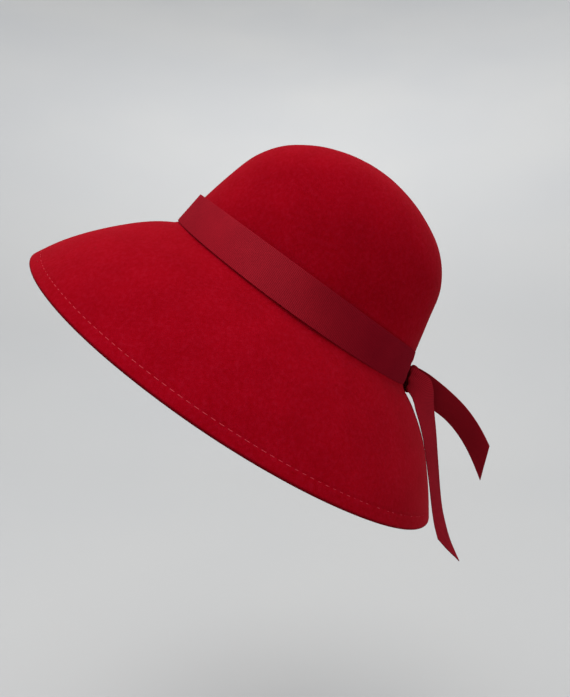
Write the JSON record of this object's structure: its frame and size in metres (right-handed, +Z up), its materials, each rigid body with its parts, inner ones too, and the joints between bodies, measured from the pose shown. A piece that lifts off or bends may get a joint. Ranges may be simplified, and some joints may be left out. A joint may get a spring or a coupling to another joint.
{
  "type": "wide-brim hat",
  "caption": "Felt hat with a tall round crown, a wide brim that bells down all round, and a flat ribbon band knotted at the back with two hanging tails.",
  "frame": {"origin": "centre of the head opening, in the oval line where the crown meets the brim", "axes": "+Z up, -Y the way the wearer faces, +X the wearer's left. The hat is held as worn with the chin up: its own axis leans back 36 degrees from +Z towards +Y, and the ribbon tails hang along -Z."},
  "size_m": [0.3064, 0.335, 0.3147],
  "materials": {
    "felt": "matte red wool felt",
    "ribbon": "dark red grosgrain, cross ribs, slight sheen"
  },
  "bodies": {
    "root": {"felt_body": "felt", "ribbon_band": "ribbon", "ribbon_knot": "ribbon", "ribbon_tail_near": "ribbon", "ribbon_tail_far": "ribbon"}
  },
  "joints": []
}
